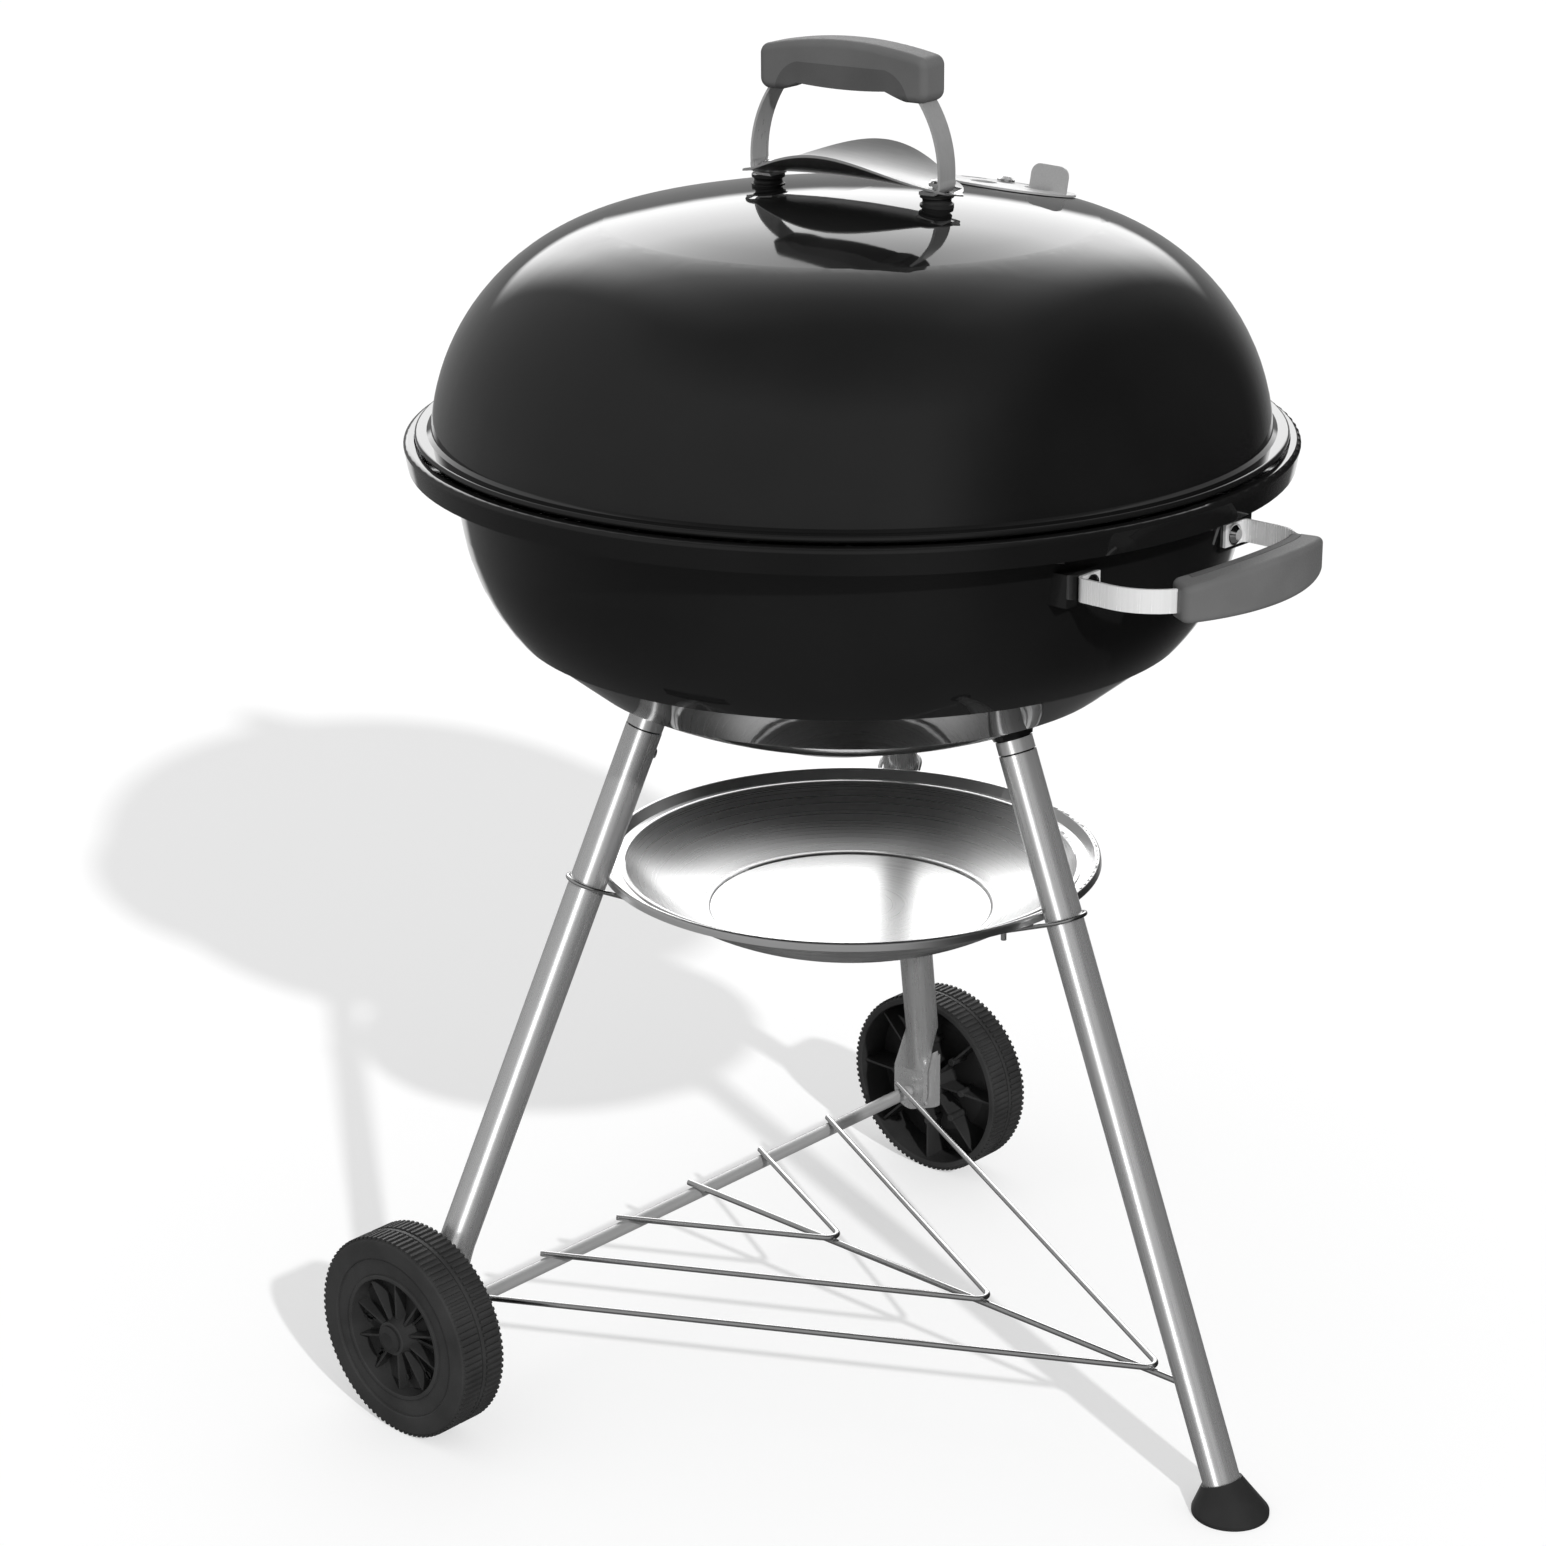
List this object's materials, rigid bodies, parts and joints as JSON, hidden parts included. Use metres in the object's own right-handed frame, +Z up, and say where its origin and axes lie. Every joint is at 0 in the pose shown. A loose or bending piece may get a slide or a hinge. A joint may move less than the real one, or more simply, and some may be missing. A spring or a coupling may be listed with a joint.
{
  "type": "kettle charcoal grill",
  "caption": "Round enamelled kettle for grilling over charcoal, with a lift-off vented lid, tube legs, an ash dish below the bowl, a wire rack and transport wheels.",
  "frame": {"origin": "on the floor, at the middle of the object's outline seen from above", "axes": "+Z up, -Y towards the foot leg and the bowl's handle, X along the wheel axle"},
  "size_m": [0.612, 0.658, 0.939],
  "materials": {
    "enamel": "gloss black vitreous enamel",
    "grip": "matte mid-grey moulded plastic",
    "grip_insert": "darker grey ribbed plastic",
    "strap_steel": "satin steel strip",
    "shield_steel": "brushed steel sheet",
    "damper_metal": "brushed aluminium sheet",
    "rivet_metal": "bright rivet",
    "fastener": "bright zinc plating",
    "leg_metal": "satin drawn tube",
    "black_plastic": "matte black plastic",
    "wheel_plastic": "matte charcoal plastic",
    "pan_metal": "bright spun sheet",
    "axle_metal": "plated steel",
    "wire": "bright plated wire",
    "grate_wire": "plated wire",
    "inner_steel": "plain steel strip"
  },
  "bodies": {
    "kettle": {"bowl": "enamel", "leg_sockets": "enamel", "bowl_handle_grip": "grip", "bowl_handle_insert": "grip_insert", "bowl_handle_strap": "strap_steel", "bowl_handle_brackets": "strap_steel", "bowl_damper_rivets": "rivet_metal", "bowl_handle_bolts": "fastener", "leg_buttons": "fastener", "wheel_washers": "fastener", "foot_leg": "leg_metal", "left_wheel_leg": "leg_metal", "right_wheel_leg": "leg_metal", "leg_collars": "leg_metal", "foot_boot": "black_plastic", "hub_caps": "black_plastic", "ash_pan": "pan_metal", "axle_rod": "axle_metal", "axle_sleeve": "axle_metal", "axle_plates": "axle_metal", "rack_outer_wire": "wire", "rack_middle_wire": "wire", "rack_inner_wire": "wire", "rack_centre_wire": "wire", "pan_clips": "wire", "cooking_grate_tabs": "inner_steel", "charcoal_grate_tabs": "inner_steel"},
    "lid": {"lid": "enamel", "lid_handle_strap": "strap_steel", "lid_handle_grip": "grip", "lid_handle_insert": "grip_insert", "heat_shield": "shield_steel", "lid_handle_spacers": "black_plastic", "lid_handle_screws": "fastener", "lid_handle_nuts": "fastener", "lid_damper_rivet": "rivet_metal", "lid_hook": "inner_steel"},
    "lid_damper": {"lid_damper": "damper_metal"},
    "left_wheel": {"left_wheel": "wheel_plastic"},
    "right_wheel": {"right_wheel": "wheel_plastic"},
    "bowl_damper_back": {"bowl_damper_back": "damper_metal"},
    "bowl_damper_left": {"bowl_damper_left": "damper_metal"},
    "bowl_damper_right": {"bowl_damper_right": "damper_metal"},
    "cooking_grate": {"cooking_grate": "grate_wire"},
    "charcoal_grate": {"charcoal_grate": "grate_wire"}
  },
  "joints": [
    {"name": "lid_lift", "type": "slide", "parent": "kettle", "child": "lid", "axis": [0, 0, 1], "range_m": [0, 0.45]},
    {"name": "lid_damper_turn", "type": "hinge", "parent": "lid", "child": "lid_damper", "pos_m": [0.13468, 0.01507, 0.82866], "axis": [0.184, -0.0259, 0.9826], "range_deg": [-45, 45]},
    {"name": "left_wheel_spin", "type": "hinge", "parent": "kettle", "child": "left_wheel", "pos_m": [-0.282, 0.18779, 0.073], "axis": [1, 0, 0], "continuous": true},
    {"name": "right_wheel_spin", "type": "hinge", "parent": "kettle", "child": "right_wheel", "pos_m": [0.282, 0.18779, 0.073], "axis": [1, 0, 0], "continuous": true},
    {"name": "cooking_grate_lift", "type": "slide", "parent": "kettle", "child": "cooking_grate", "axis": [0, 0, 1], "range_m": [0, 0.025]},
    {"name": "charcoal_grate_lift", "type": "slide", "parent": "kettle", "child": "charcoal_grate", "axis": [0, 0, 1], "range_m": [0, 0.07]},
    {"name": "bowl_damper_back_turn", "type": "hinge", "parent": "kettle", "child": "bowl_damper_back", "pos_m": [0, 0.09599, 0.48109], "axis": [0, 0.1632, -0.9866], "range_deg": [-45, 45]},
    {"name": "bowl_damper_left_turn", "type": "hinge", "parent": "kettle", "child": "bowl_damper_left", "pos_m": [-0.05369, 0.00299, 0.48109], "axis": [-0.1413, -0.0816, -0.9866], "range_deg": [-45, 45]},
    {"name": "bowl_damper_right_turn", "type": "hinge", "parent": "kettle", "child": "bowl_damper_right", "pos_m": [0.05369, 0.00299, 0.48109], "axis": [0.1413, -0.0816, -0.9866], "range_deg": [-45, 45]}
  ]
}
